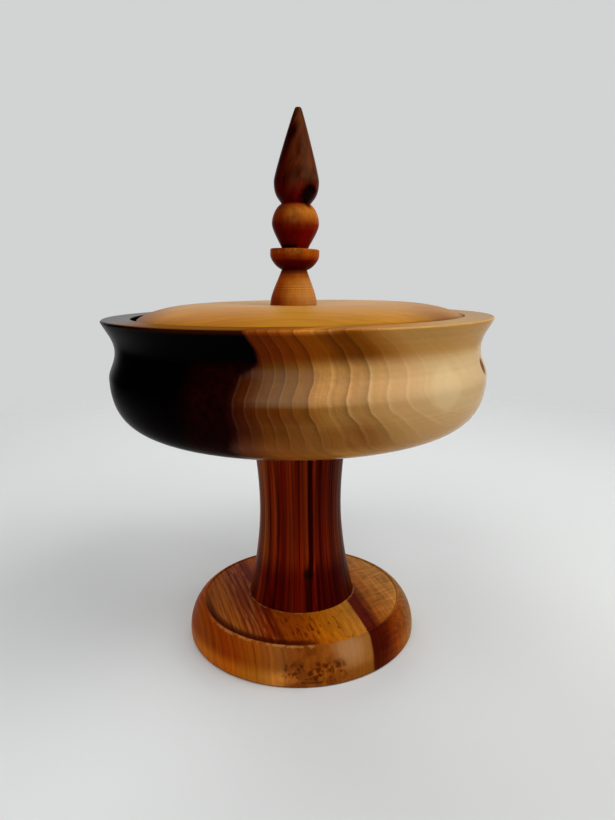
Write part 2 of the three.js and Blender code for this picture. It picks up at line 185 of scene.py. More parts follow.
class Nodes:
    """The nodes of one material, or of the room around the dish."""

    def __init__(self, owner):
        owner.use_nodes = True
        self.tree = owner.node_tree

    def node(self, kind, settings={}, inputs={}, output=0):
        """Adds a node. Its settings come first, then the value or wire of each socket."""
        made = self.tree.nodes.new(kind)
        for name, value in settings.items():
            if name == "stops":
                self.set_stops(made.color_ramp, value)
            else:
                setattr(made, name, value)
        for name, value in inputs.items():
            if isinstance(value, Wire):
                self.tree.links.new(value.socket, made.inputs[name])
            else:
                made.inputs[name].default_value = value
        return Wire(self, made.outputs[output])

    def math(self, operation, *terms):
        """A Math node that works the operation out on values or wires."""
        return self.node("ShaderNodeMath", {"operation": operation}, dict(enumerate(terms)))

    def parts(self, vector):
        """The x, y and z of a vector."""
        node = self.node("ShaderNodeSeparateXYZ", inputs={0: vector}).socket.node
        return [Wire(self, socket) for socket in node.outputs]

    def link(self, wire, shader, socket):
        """Leads a wire to a socket of the shader, by its name or number."""
        self.tree.links.new(wire.socket, shader.inputs[socket])

    def set_stops(self, ramp, stops):
        """Gives the ramp its stops, each a position from 0 to 1 and a colour."""
        while len(ramp.elements) < len(stops):
            ramp.elements.new(1)
        for element, (position, code) in zip(ramp.elements, stops):
            element.position = position
            element.color = paint(code)

    def vector(self, operation, *terms, output=0, **named):
        """A Vector Math node. Its terms go to its sockets in turn, or to those that are named."""
        inputs = {**dict(enumerate(terms)), **named}
        return self.node("ShaderNodeVectorMath", {"operation": operation}, inputs, output)

    def dot(self, vector, direction):
        """How far the vector reaches in the direction."""
        return self.vector("DOT_PRODUCT", vector, direction, output="Value")

    def noise(self, vector, scale, detail=2, roughness=0.5):
        """Smooth noise around 0, from about -0.5 to 0.5."""
        inputs = {"Vector": vector, "Scale": scale, "Detail": detail, "Roughness": roughness}
        return self.node("ShaderNodeTexNoise", {}, inputs) - 0.5

    def mix(self, share, first, second, blend="MIX"):
        """The first colour, with a share of the second blended in."""
        settings = {"data_type": "RGBA", "blend_type": blend}
        return self.node("ShaderNodeMix", settings, {0: share, 6: first, 7: second}, output=2)

    def ramp(self, value, stops):
        """The colours of the stops, given as a dictionary from value to colour."""
        low, high = min(stops), max(stops)
        share = (value - low) / (high - low)
        placed = [((at - low) / (high - low), stops[at]) for at in sorted(stops)]
        return self.node("ShaderNodeValToRGB", {"stops": placed}, {0: share})

    def shade(self, colour, brightness):
        """The colour multiplied by a brightness, or by another colour."""
        return self.mix(1, colour, brightness, blend="MULTIPLY")

    def tint(self, share, colour, shift):
        """The colour, turned by a share towards its product with the shift."""
        return self.mix(share, colour, self.shade(colour, shift))

    def stain(self, colour, mask, strength, code):
        """The colour, mixed with that of the code by the mask times the strength."""
        return self.mix(mask * strength, colour, paint(code))

    def lines(self, value, spacing):
        """Noise around 0 that changes with the value alone."""
        inputs = {"W": value, "Scale": 1 / spacing, "Detail": 2}
        return self.node("ShaderNodeTexNoise", {"noise_dimensions": "1D"}, inputs) - 0.5


class Finish(Nodes):
    """The finish of a piece or of the floor: a Principled shader, its constants and what varies."""

    def __init__(self, name, **constants):
        self.material = bpy.data.materials.new(name)
        super().__init__(self.material)
        self.shader = self.tree.nodes["Principled BSDF"]
        for socket, value in constants.items():
            self.shader.inputs[socket.replace("_", " ")].default_value = value
        coordinates = self.node("ShaderNodeTexCoord", output="Object")
        self.place = self.vector("SCALE", coordinates, Scale=1 / MM)
        self.x, self.y, self.z = self.parts(self.place)

    def distance(self, point):
        """How far the place is from the point."""
        return self.vector("DISTANCE", self.place, point, output="Value")

    def spot(self, point, core, edge):
        """1 as far as the core from the point, and a smooth fall to 0 at the edge."""
        return self.distance(point).rise(edge, core)

    def grain(self, along):
        """Place, turned so that x runs along the wood's fibres and y and z across them."""
        along = np.array(along) / np.linalg.norm(along)
        side = np.cross(along, (0, 0, 1) if abs(along[2]) < 0.9 else (0, 1, 0))
        side /= np.linalg.norm(side)
        over = np.cross(side, along)
        parts = {axis: self.dot(self.place, list(way)) for axis, way in enumerate((along, side, over))}
        return self.node("ShaderNodeCombineXYZ", inputs=parts)

    def fibres(self, grain, length, width, detail=2):
        """Noise drawn out along the grain."""
        stretched = self.vector("MULTIPLY", grain, (1 / length, 1 / width, 1 / width))
        return self.noise(stretched, 1, detail)

    def pores(self, grain):
        """1 in the short pores that run along the grain, 0 elsewhere."""
        return self.fibres(grain, 2.6, 0.26, 1).rise(0.13, 0.2)

    def finish(self, piece, colour, roughness, relief, coat=None):
        """Sends the colour, roughness, relief in millimetres and coat to the shader of the piece."""
        height = {"Height": relief, "Strength": 1, "Distance": MM}
        bump = self.node("ShaderNodeBump", inputs=height)
        for name, wire in (("Base Color", colour), ("Roughness", roughness), ("Normal", bump)):
            self.link(wire, self.shader, name)
        if coat:
            self.link(coat, self.shader, "Coat Weight")
        piece.data.materials.append(self.material)


base_high = np.array(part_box("base")[1]) / MM
base_radius = base_high[0]
base_seat = base_high[2]
groove_radius = base_radius - BASE_GROOVE_INSET
groove_top = base_seat - BASE_TOP_FALL
groove_floor = groove_top - BASE_GROOVE_DEPTH
roll_start = groove_radius + BASE_GROOVE_HALF_WIDTH
mortise_floor = base_seat - BASE_MORTISE[1]
base_profile = outline(
    (0, BASE_JAW_RECESS[1]),
    BASE_JAW_RECESS,
    (BASE_JAW_RECESS[0], 0),
    (base_radius - BASE_FOOT_CHAMFER, 0),
    (base_radius, BASE_FOOT_CHAMFER),
    (base_radius, BASE_EDGE_UPRIGHT),
    curve(
        (base_radius, BASE_EDGE_UPRIGHT), (base_radius, 13.6),
        (75.1, groove_floor), (roll_start, groove_top),
    ),
    (groove_radius, groove_floor),
    (groove_radius - BASE_GROOVE_HALF_WIDTH, groove_top),
    (STEM_FOOT_RADIUS, base_seat),
    (BASE_MORTISE[0], base_seat),
    (BASE_MORTISE[0], mortise_floor),
    (0, mortise_floor),
)
base = turned("turned_base", base_profile, 288)

BASE_GRAIN = (0.3, -0.954, 0)
BASE_ACROSS = (0.954, 0.3, 0)
BASE_CURL = (0.8, 0.6, 0)            # the way of the curly fibres at the right
BASE_YEAR = 4.1                      # width of a year's stripe
TORN_AND_HIGHLIGHT_RADIUS = 71.6                   # of the torn fibres and painted highlight outside the groove
FOOT_LINE_RADIUS = STEM_FOOT_RADIUS + 0.7
STREAKS_PLACE = (-3, -52, 25)
ROLL_SHEEN_PLACE = (30, -69, 19)
SMUDGE_PLACE = (5, -80, 10)
DABS_PLACE = (8, -80, 10)

walnut = Finish("base_walnut", Specular_IOR_Level=0.013, Specular_Tint=paint("#ffa060"))
grain = walnut.grain(BASE_GRAIN)
straight = walnut.dot(walnut.place, BASE_ACROSS)
across = straight + walnut.fibres(grain, 60, 14) * 3 + walnut.fibres(grain, 14, 4) * 0.9
level_place = walnut.vector("MULTIPLY", walnut.place, (1, 1, 0))
radius = walnut.vector("LENGTH", level_place, output="Value")
on_roll = radius.rise(groove_radius - 0.6, groove_radius + 2.6)

# The colours across the grain, on the top and on the roll: brown, honey, the dark band, brown.
top_figure = walnut.ramp(across, {
    -82: "#b45c0c", -56: "#a3500a", -45: "#8a360a", -36: "#8e3009", -30.8: "#6c1c06", -29: "#8a3c07",
    -19: "#923e05", -12: "#a34d07", -4: "#b56009", 8: "#ba6c15", 18: "#bd7520", 23.4: "#b87326",
    24.4: "#5c1808", 32: "#5a1406", 35: "#743008", 40: "#985214", 48: "#a86424", 66: "#b47834",
})
roll_figure = walnut.ramp(across, {
    -75: "#9a440d", -65: "#9e3b06", -50: "#a24e0e", -36: "#9e5a22", -31: "#8c4818", -22: "#8a440f",
    -12: "#8c470f", -5: "#9c581c", 5: "#9c602a", 15: "#9c632b", 23.4: "#96602a", 24.4: "#400e03",
    35: "#480f03", 40: "#5a1c05", 47: "#7c3308", 56: "#86420f", 66: "#8a5528", 80: "#966a38",
})
figure = walnut.mix(on_roll, top_figure, roll_figure)

# Yearly stripes at the left, fibres and pores everywhere, curl at the right.
season = walnut.math("FRACT", across / BASE_YEAR)
stripe = season.band(0.2, 0.6, 0.86, 0.96)
striped = across.rise(-29, -34) * (0.42 - on_roll * 0.3)
fine = walnut.fibres(grain, 22, 0.9)
coarse = walnut.fibres(grain, 70, 3.2)
curl = walnut.fibres(walnut.grain(BASE_CURL), 16, 2.2) * straight.rise(26, 36)
pores = walnut.pores(grain)
low_left = walnut.z.rise(13, 5) * straight.rise(-28, -38)
grown = walnut.lines(across, 2.2) * 0.9 + walnut.lines(across, 0.9) * 0.5
grown = grown * (on_roll * 0.3 + across.rise(-27, -34) * 0.4 + 0.3)
tone = 1 + low_left * 0.75 - stripe * striped * (1 + coarse * 4) + grown
tone = tone + (fine + coarse - pores * 0.25) * (1 - on_roll * 0.75) + curl * 1.3
wood = walnut.shade(figure, tone)

# Paler and greyer low on the roll.
low = walnut.z.rise(14, 7) * on_roll
low_middle = straight.band(-34, -28, -14, -8)
low_tint = walnut.ramp(straight, {
    -75: "#dcfcd9", -60: "#ccfff4", -50: "#badaf0", -36: "#ecfffa", -12: "#f4fffa", -7: "#bcaa87",
    22: "#bcaa80", 23.6: "#c4b880", 24.6: "#f4ffa0", 27: "#d0e080", 32: "#ecff80", 36: "#e8ff90",
    40: "#dce6a8", 46: "#e8fcbc", 56: "#ecffdc", 70: "#e2fadc",
})
wood = walnut.shade(wood, 1 + low * (0.7 + low_middle * 0.4))
wood = walnut.tint(low, wood, low_tint)

# Marks on the top: light fibres at the left, reddish stains and streaks, and short brown dashes.
light = walnut.fibres(grain, 60, 1.4, 1).rise(0.03, 0.16) * across.rise(-30, -36) * (1 - on_roll)
wood = walnut.stain(wood, light, 0.32, "#c07c38")
stains = walnut.fibres(grain, 16, 4, 2).rise(0.0, 0.12) * straight.band(-20, -14, -12, -6)
stains = stains * (1 - on_roll) * walnut.y.rise(-34, -48)
wood = walnut.stain(wood, stains, 0.55, "#702608")
streaks = walnut.fibres(grain, 13, 2.2, 1).rise(0.05, 0.15) * walnut.spot(STREAKS_PLACE, 9, 16)
wood = walnut.stain(wood, streaks, 0.85, "#5c1804")
dashes = walnut.fibres(grain, 8, 1.8, 1).rise(0.15, 0.22) * straight.band(-31, -27, 6, 24)
wood = walnut.stain(wood, dashes * (1 - on_roll), 0.8, "#5a1a04")

# Marks on the roll: a smudge, a pale patch of painted sheen, and two sizes of dabs in clusters.
smudge = walnut.noise(walnut.place, 0.13, 3).rise(-0.1, 0.1) * walnut.spot(SMUDGE_PLACE, 10, 26)
wood = walnut.stain(wood, smudge, 0.7, "#68300e")
# A pale patch on the front of the roll, where a sheen is painted.
roll_sheen = walnut.spot(ROLL_SHEEN_PLACE, 3, 14) * straight.rise(24.4, 23) * on_roll
wood = walnut.stain(wood, roll_sheen, 0.35, "#c09468")
wobble = {"Vector": walnut.place, "Scale": 0.5, "Detail": 2}
wobbling = walnut.node("ShaderNodeTexNoise", {}, wobble, output="Color")
uneven = walnut.vector("ADD", walnut.place, walnut.vector("SCALE", wobbling, Scale=2.4))
large = walnut.node("ShaderNodeTexVoronoi", {}, {"Vector": uneven, "Scale": 0.26}).rise(0.6, 0.36)
small = walnut.node("ShaderNodeTexVoronoi", {}, {"Vector": uneven, "Scale": 0.5}).rise(0.45, 0.25)
large = large * walnut.noise(walnut.place, 0.14, 1).rise(-0.1, 0.0)
small = small * walnut.noise(walnut.place, 0.2, 1).rise(-0.02, 0.06)
dabs = walnut.math("MAXIMUM", large, small * 0.8)
dabs = dabs * walnut.spot(DABS_PLACE, 16, 24) * walnut.z.band(2, 4, 14, 17)
wood = walnut.stain(wood, dabs, 0.8, "#4c1404")

# Along the groove: painted shade, a dark line inside, and torn light fibres with a painted highlight
# outside.
groove_shade = radius.band(64, 67.5, 69.4, 71) * straight.rise(-4, -22) * walnut.y.rise(12, -26)
wood = walnut.stain(wood, groove_shade, 0.85, "#3c0c04")
# Torn light fibres along the groove's outer edge, with a painted highlight there.
torn_fibres_and_highlight = radius + walnut.noise(walnut.place, 0.35, 3) * 2.6 - TORN_AND_HIGHLIGHT_RADIUS
torn_fibres_and_highlight = walnut.math("ABSOLUTE", torn_fibres_and_highlight).rise(1.2, 0.3)
torn_fibres_and_highlight = torn_fibres_and_highlight * walnut.noise(walnut.place, 0.22, 3).rise(-0.1, 0.06)
torn_fibres_and_highlight = torn_fibres_and_highlight * straight.rise(-6, -18) * walnut.y.rise(-26, -56)
wood = walnut.stain(wood, torn_fibres_and_highlight, 0.65, "#bc8444")
# Torn light fibres round the stem's foot.
foot_line = radius + walnut.noise(walnut.place, 0.4, 3) * 1.6 - FOOT_LINE_RADIUS
foot_line = walnut.math("ABSOLUTE", foot_line).rise(0.8, 0.2)
foot_line = foot_line * walnut.noise(walnut.place, 0.16).rise(-0.06, 0.1)
wood = walnut.stain(wood, foot_line, 0.55, "#b88448")
rough = 0.34 + fine * 0.1 + pores * 0.15
walnut.finish(base, wood, rough, fine * 0.03 - pores * 0.04)
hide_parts("base")
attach(base, "dish")


# Stem: a waisted column of dark red-brown walnut, turned between centres with its grain upright,
# with a tenon at each end, glued into the base and the bowl. A black streak runs down its front.
STEM_WAIST = (28.9, 65.6)            # radius, and height above the foot shoulder
STEM_HEAD_RADIUS = 34.2
STEM_LOWER_TENON = (15, 12)          # radius and length
STEM_UPPER_TENON = (12.5, 10)
TENON_CHAMFER = 1

stem_low, stem_high = (np.array(corner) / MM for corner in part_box("stem"))
foot = stem_low[2] + STEM_LOWER_TENON[1]
head = stem_high[2] - STEM_UPPER_TENON[1]
waist_height = foot + STEM_WAIST[1]
waist = (STEM_WAIST[0], waist_height)
stem_profile = outline(
    (0, stem_low[2]),
    (STEM_LOWER_TENON[0] - TENON_CHAMFER, stem_low[2]),
    (STEM_LOWER_TENON[0], stem_low[2] + TENON_CHAMFER),
    (STEM_LOWER_TENON[0], foot),
    (STEM_FOOT_RADIUS, foot),
    curve((STEM_FOOT_RADIUS, foot), (34.2, foot + 13.1), (STEM_WAIST[0], foot + 41.3), waist),
    curve(waist, (STEM_WAIST[0], waist_height + 19.9), (31, head - 15), (STEM_HEAD_RADIUS, head)),
    (STEM_UPPER_TENON[0], head),
    (STEM_UPPER_TENON[0], stem_high[2] - TENON_CHAMFER),
    (STEM_UPPER_TENON[0] - TENON_CHAMFER, stem_high[2]),
    (0, stem_high[2]),
    edge=0.3,
)
stem = turned("turned_stem", stem_profile, 192)

STEM_GRAIN = (0, 0, 1)
STEM_MIDDLE_RADIUS = 31              # between its waist and its ends
PIN_KNOT_PLACE = (5, -32.3, 52)

dark = Finish("stem_walnut", Specular_IOR_Level=0.014, Specular_Tint=paint("#ffa070"))
grain = dark.grain(STEM_GRAIN)
lower = dark.z.rise(66, 46)
across = dark.x + dark.y * 0.06 + dark.fibres(grain, 160, 12) * 2
across = across + dark.fibres(grain, 90, 3) * 0.8 + lower * 1.6
figure = dark.ramp(across, {
    -38: "#8c3c16", -29: "#a84c16", -25: "#9c4611", -22: "#701003", -18.5: "#9e3609", -14.5: "#7c1204",
    -8: "#902e08", -4: "#821c05", -0.5: "#ae3208", 1.8: "#9c380a", 3.7: "#3a0301", 6.4: "#340201",
    7.8: "#902808", 11.5: "#5a0e04", 15: "#701c06", 20: "#601805", 25: "#622609", 38: "#582610",
})

# The streaks follow the waisted outline, so their place is the height and the way round the stem.
around = dark.vector("NORMALIZE", dark.vector("MULTIPLY", dark.place, (1, 1, 0)))
x_around, y_around = dark.parts(dark.vector("SCALE", around, Scale=STEM_MIDDLE_RADIUS))[:2]
upright = dark.node("ShaderNodeCombineXYZ", {}, {0: dark.z, 1: x_around, 2: y_around})
fine = dark.fibres(upright, 150, 1.2, 2)
coarse = dark.fibres(upright, 300, 3, 1)
pores = dark.pores(upright)
wood = dark.shade(figure, 0.98 + fine * 2.8 + coarse * 2.2 - pores * 0.3)
# Darker and redder towards the foot, partly painted shade.
low_tint = dark.ramp(dark.x, {
    -31: "#c89080", -27: "#b85850", -15: "#b46870", -8: "#bc8c90", 0: "#bc8890", 3: "#a47078",
    5: "#ffd8c8", 7: "#e0b0a8", 9: "#bc8890", 18: "#bc8080", 22: "#a04858", 27: "#b45860", 31: "#c89080",
})
wood = dark.tint(lower, wood, low_tint)
wood = dark.stain(wood, dark.spot(PIN_KNOT_PLACE, 1.5, 5.5), 0.8, "#120202")
rough = 0.3 + fine * 0.12 + pores * 0.15
dark.finish(stem, wood, rough, fine * 0.03 - pores * 0.04)
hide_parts("stem")
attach(stem, "dish")


# Bowl: turned from a walnut log with near-black heartwood on the left and pale sapwood on the right,
# and glued onto the stem's upper tenon. It has a full belly, a drawn-in neck, a flared rim with a
# rebate and a ledge for the lid, and an undercut hollow.
BOWL_SEAT_RADIUS = 44
BOWL_BELLY_INSET = 3.1
BOWL_BELLY_HEIGHT = 41
BOWL_NECK_INSET = 7.5
BOWL_NECK_HEIGHT = 58.3
BOWL_RIM_CHAMFER = 1.1
BOWL_RIM_WIDTH = 18.1
REBATE_DEPTH = 4.8
LEDGE_WIDTH = 7.8
LEDGE_THICKNESS = 2
BOWL_WALL = 11.5
BOWL_FLOOR = (50, 16)                # radius and thickness
BOWL_MORTISE = (12.8, 10.3)          # radius and depth

bowl_low, bowl_high = (np.array(corner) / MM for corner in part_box("bowl"))
rim = bowl_high[0]
under = bowl_low[2]
top = bowl_high[2]
belly = (rim - BOWL_BELLY_INSET, under + BOWL_BELLY_HEIGHT)
neck = (rim - BOWL_NECK_INSET, under + BOWL_NECK_HEIGHT)
rim_low = (rim, top - BOWL_RIM_CHAMFER)
rebate = rim - BOWL_RIM_WIDTH
ledge = top - REBATE_DEPTH
ledge_inner = rebate - LEDGE_WIDTH
ledge_bottom = ledge - LEDGE_THICKNESS
inside = (belly[0] - BOWL_WALL, belly[1])
floor_edge = (BOWL_FLOOR[0], under + BOWL_FLOOR[1])
bowl_profile = outline(
    (0, under + BOWL_MORTISE[1]),
    (BOWL_MORTISE[0], under + BOWL_MORTISE[1]),
    (BOWL_MORTISE[0], under),
    (BOWL_SEAT_RADIUS, under),
    curve((BOWL_SEAT_RADIUS, under), (99.1, under), (belly[0], under + 4.9), belly),
    curve(belly, (belly[0], belly[1] + 5.2), (neck[0], neck[1] - 8), neck),
    curve(neck, (neck[0], neck[1] + 6.9), (rim - 3, rim_low[1] - 6), rim_low),
    (rim - BOWL_RIM_CHAMFER, top),
    (rebate, top),
    (rebate, ledge),
    (ledge_inner, ledge),
    (ledge_inner, ledge_bottom),
    curve(
        (ledge_inner, ledge_bottom), (ledge_inner, ledge_bottom - 8.9),
        (inside[0], inside[1] + 13.4), inside,
    ),
    curve(inside, (inside[0], inside[1] - 18.8), (91.8, floor_edge[1]), floor_edge),
    (0, floor_edge[1]),
    edge=0.5,
    spacing=2.1,
)
KNOT_PLACE = (111.2, -48.1, 195.2)
KNOT_SINK = 1.9                      # depth of its hollow
KNOT_SPREAD = 3                      # half width of its hollow, about
KNOT_HEIGHT = 0.8                    # how much nearer a point above or below it counts


def knot_hollow(rings, poles):
    """Draws the outer points near the knot inwards, by a depth that falls off as a bell curve: the
    sink times e to the power of minus the square of (distance over spread)."""
    away = np.linalg.norm((rings - KNOT_PLACE) * (1, 1, KNOT_HEIGHT), axis=-1, keepdims=True)
    radius = np.linalg.norm(rings[..., :2], axis=-1, keepdims=True)
    outside = radius > inside[0] + 4
    depth = KNOT_SINK * np.exp(-((away / KNOT_SPREAD) ** 2)) * outside
    return rings - rings * (1, 1, 0) / radius * depth, poles


bowl = turned("turned_bowl", bowl_profile, 360, knot_hollow)

PITH = (-26.4, 30.8, 119.8)          # a point on the middle of the trunk
PITH_WAY = (0.5975, 0.5118, -0.6173)
RING_WIDTH = 5
FIRST_RING = 119.5
SWELL = (147, 45, 1.2)               # the years widen and narrow: start, length and half height
HEART_EDGE = 108.3                   # radius of the heartwood at the height of the belly
PALE_PATCH_PLACE = (80, -94, 190)     # the middle of a pale rounded patch

log = Finish("bowl_heart_and_sap", Specular_IOR_Level=0.002, Coat_IOR=1.08, Coat_Roughness=0.22)
grain = log.grain(PITH_WAY)

# The radius of the trunk at each place, bent a little where the tree grew unevenly.
from_pith = log.vector("SUBTRACT", log.place, PITH)
along = log.dot(from_pith, PITH_WAY)
reach = log.vector("LENGTH", from_pith, output="Value")
bend = 0.7 - log.z.rise(184, 176) * 1.5 + log.z.rise(172, 160) * 2.8 - log.z.rise(208, 216)
ring_radius = (reach * reach - along * along) ** 0.5 + bend + log.spot(KNOT_PLACE, 1, 15) * 5
ring_radius = ring_radius + log.noise(log.place, 0.05) + log.noise(log.place, 0.2) * 0.5

# Sapwood: the colour by that radius, and each year from pale early wood to a dark line.
wood = log.ramp(ring_radius, {
    95: "#2c0902", 110: "#441203", 116: "#5c2306", 122: "#7c400e", 128: "#8c4d16", 136: "#a8682a",
    142: "#c0863e", 151: "#c48a46", 157: "#ce9856", 164: "#d6a468", 172: "#d4af7a", 180: "#d1b07e",
})
swell = log.math("SINE", (ring_radius - SWELL[0]) * (2 * math.pi / SWELL[1])) * SWELL[2]
year = log.math("FRACT", (ring_radius - FIRST_RING - swell) / RING_WIDTH)
shades = log.ramp(year, {
    0: "#f6f6f6", 0.07: "#f2f2f2", 0.15: "#e4e4e4", 0.5: "#dedede", 0.8: "#c4c4c4", 0.95: "#a8a8a8",
    1: "#f6f6f6",
})
ring_strength = log.ramp(ring_radius, {
    118: "#b0b0b0", 126: "#cccccc", 138: "#ffffff", 140: "#969696", 144: "#969696", 146: "#e8e8e8",
    155: "#dcdcdc", 158: "#909090", 172: "#383838",
}) * (0.4 + log.z.rise(158, 184) * 0.6)
wood = log.tint(ring_strength, wood, shades)
early_wood = year.rise(0.3, 0.03) * ring_radius.rise(173, 162) * (log.z.rise(160, 186) * 0.8 + 0.2)
early_wood = early_wood * log.noise(log.place, 0.06, 2).rise(-0.3, 0.1)
wood = log.stain(wood, early_wood, 0.035 + ring_radius.rise(140, 158) * 0.16, "#ecd6a4")

# Fibres, growth lines and faint turning marks, and a lighter tone low beside the heartwood.
fine = log.fibres(grain, 26, 0.8)
coarse = log.fibres(grain, 80, 4)
growth = log.lines(ring_radius, 1.1)
turning_marks = log.lines(log.z, 2.2)
low_glow = log.z.rise(174, 163) * ring_radius.rise(137, 116)
fibrous = ring_radius.rise(164, 148) * 0.75 + 0.25
tone = 1 + low_glow * 0.65 + (fine * 0.3 + coarse * 0.4 + growth * 0.3) * fibrous + turning_marks * 0.12
wood = log.shade(wood, tone)
wood = log.stain(wood, low_glow, 0.05, "#b8a468")

# Bands round the bowl: two duller ones on the underside, and a paler painted sheen along the belly.
low_band = log.z.band(158, 165, 172, 183) * ring_radius.band(135, 141, 150, 160)
wood = log.tint(low_band, wood, paint("#dfc8b4"))
# The upper duller band lies just under the painted sheen.
below_sheen = log.z.band(176, 182, 185.5, 187) * ring_radius.rise(150, 138)
wood = log.tint(below_sheen, wood, paint("#eedcbc"))
# A painted sheen and reflection along the belly: paler, greyer beside the heartwood, with a pale veil.
belly_sheen = log.z.band(185.5, 188.5, 205, 211)
belly_sheen_tone = ring_radius.rise(132, 142) * 0.12 + ring_radius.rise(164, 146) * 0.26
wood = log.shade(wood, 1 + belly_sheen * belly_sheen_tone)
wood = log.tint(belly_sheen * ring_radius.rise(140, 130), wood, paint("#ecfff0"))
belly_reflection = log.z.band(185.5, 188.5, 197, 207) * ring_radius.rise(114, 128)
wood = log.stain(wood, belly_reflection, 0.08, "#e8d8c0")

# The flare is a deeper honey, partly painted shade; its lip has a painted highlight; the rim's face is
# browner.
rim_face = log.z.rise(top - 0.6, top - 0.2)
# A painted highlight along the lip of the rim.
lip = log.z.rise(221.5, 223.5) * (1 - rim_face)
# Painted shade on the flare, which faces down away from the light, over the wood's deeper honey.
flare = log.z.rise(204, 212) * (1 - rim_face) * (1 - lip * ring_radius.rise(156, 148) * 0.3)
flare_shade_tint = log.ramp(ring_radius, {
    118: "#ffbc1a", 134: "#fcb81c", 145: "#cf9722", 150: "#b88421", 158: "#b88628", 163: "#dcb873",
    169: "#f8dca8",
})
wood = log.tint(flare, wood, flare_shade_tint)
wood = log.shade(wood, 1 + lip * ring_radius.rise(164, 142) * 0.85)
# The face of the rim is brighter, browner, and greyer with a painted reflection of the backdrop.
rim_reflection_tint = log.ramp(log.x, {
    -20: "#c4d4ca", 0: "#b4aa80", 22: "#988f82", 50: "#96877a", 84: "#9e9898", 124: "#9294a8",
})
wood = log.shade(wood, 1 + rim_face)
wood = log.tint(rim_face, wood, rim_reflection_tint)

# Heartwood: near-black, reddish beside the sapwood below the flare, browner along the lip and rim.
heart_edge = HEART_EDGE - log.z.rise(172, 158) * 3 + log.z.rise(199, 209) * 10.7
depth = heart_edge - ring_radius + log.noise(log.place, 0.05, 3) * 3 + log.fibres(grain, 60, 2) * 2
soft_edge = log.z.rise(214, 196)
heart = depth.rise(soft_edge * -4.4 - 0.8, soft_edge + 1)
clouded = log.z + log.noise(log.place, 0.03) * 20
heart_wood = log.ramp(clouded, {150: "#0a0201", 176: "#040101", 215: "#020101"})
red = ring_radius.rise(80, 94) * log.z.rise(211, 204) * (0.6 + log.fibres(grain, 60, 3) * 1.6)
heart_wood = log.mix(red, heart_wood, paint("#240302"))
# A painted highlight along the heartwood's lip.
heart_wood = log.stain(heart_wood, lip * log.x.rise(-110, -50), 0.7, "#401606")
heart_wood = log.mix(rim_face * log.x.rise(-124, -72), heart_wood, paint("#744610"))
wood = log.mix(heart, wood, heart_wood)

# A pale rounded patch on the right of the belly, and the knot.
pale_patch = (log.distance(PALE_PATCH_PLACE) + log.noise(log.place, 0.07) * 7).rise(15, 10)
wood = log.stain(wood, pale_patch, 0.32, "#ecd29c")
knot = log.spot(KNOT_PLACE, 3.6, 7.2)
wood = log.stain(wood, knot, 0.85, "#6c3410")

# An oiled coat lies on the sapwood and on the left end of the rim. The heartwood, the knot and the
# rest of the rim are drier.
rough = 0.24 + fine * 0.08 + knot * 0.2 + rim_face * 0.5
dry = heart * (log.z.rise(192, 182) * 0.15 + 0.72) + knot * 0.3
coat = (1 - dry) * (1 - rim_face) + rim_face * log.x.rise(-68, -108)
log.finish(bowl, wood, rough, fine * 0.03, coat)
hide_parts("bowl")
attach(bowl, "dish")


# Lid: a shallow disc of honey-coloured fruitwood that drops into the bowl's rebate and lies on its
# ledge. Rounded shoulder, slightly dished top, hollowed below, with a leaning mortise for the finial.
LID_EDGE_HEIGHT = 3.5
LID_RISE = 9.1
LID_DISH = 1.2
LID_SHOULDER_WIDTH = 44.8
LID_BEARING_WIDTH = 5.5
LID_HOLLOW_DEPTH = 3
LID_CORNER_CHAMFER = 0.8
LID_STAND_RADIUS = 20.9
LID_PATCH_DEPTH = 7                  # from the level patch to just below its mortise
FINIAL_OFF_CENTRE = 4.5
FINIAL_LEAN = math.radians(2.14)
FINIAL_TENON = (6, 6)                # radius and length
GLUE_GAP = 0.3

lid_low, lid_high = (np.array(corner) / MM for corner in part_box("lid"))
lid_radius = (lid_high[0] - lid_low[0]) / 2
lid_shift = (lid_high[0] + lid_low[0]) / 2
lid_foot = lid_low[2]
crest = lid_foot + LID_EDGE_HEIGHT + LID_RISE
stand = crest - LID_DISH
bearing = lid_radius - LID_BEARING_WIDTH
crest_radius = lid_radius - LID_SHOULDER_WIDTH
lid_edge = (lid_radius, lid_foot + LID_EDGE_HEIGHT)
hollow = lid_foot + LID_HOLLOW_DEPTH
lid_mortise = FINIAL_TENON[0] + GLUE_GAP
lid_mortise_floor = stand - FINIAL_TENON[1] - GLUE_GAP
lid_profile = outline(
    (0, hollow),
    curve((0, hollow), (50.7, hollow), (81, lid_foot + 1.8), (bearing, lid_foot)),
    (lid_radius - LID_CORNER_CHAMFER, lid_foot),
    (lid_radius, lid_foot + LID_CORNER_CHAMFER),
    lid_edge,
    curve(
        lid_edge, (lid_radius - 2.5, lid_edge[1] + 2.5),
        (crest_radius + 29.1, crest), (crest_radius, crest),
    ),
    curve((crest_radius, crest), (45.6, crest), (37.3, stand), (LID_STAND_RADIUS, stand)),
    (lid_mortise, stand),
    (lid_mortise, lid_mortise_floor),
    (0, lid_mortise_floor),
    edge=0.3,
    spacing=1.8,
)


def lid_shape(rings, poles):
    """Slides the level patch's rings over to the finial's place and leans the mortise below them.
    The slide grows evenly from the patch's edge to the mortise. The whole lid then moves to the place
    where it lies in the rebate."""
    radius = np.linalg.norm(rings[..., :2], axis=-1)
    height = rings[..., 2]
    patch = (height > stand - LID_PATCH_DEPTH) & (height > hollow + 1) & (radius < LID_STAND_RADIUS)
    slide = np.clip((LID_STAND_RADIUS - radius) / (LID_STAND_RADIUS - lid_mortise), 0, 1) * patch
    depth = (stand - height) * patch
    rings[..., 0] -= slide * FINIAL_OFF_CENTRE + depth * math.tan(FINIAL_LEAN)
    poles[1, 0] -= FINIAL_OFF_CENTRE + (stand - poles[1, 2]) * math.tan(FINIAL_LEAN)
    rings[..., 0] += lid_shift
    poles[:, 0] += lid_shift
    return rings, poles


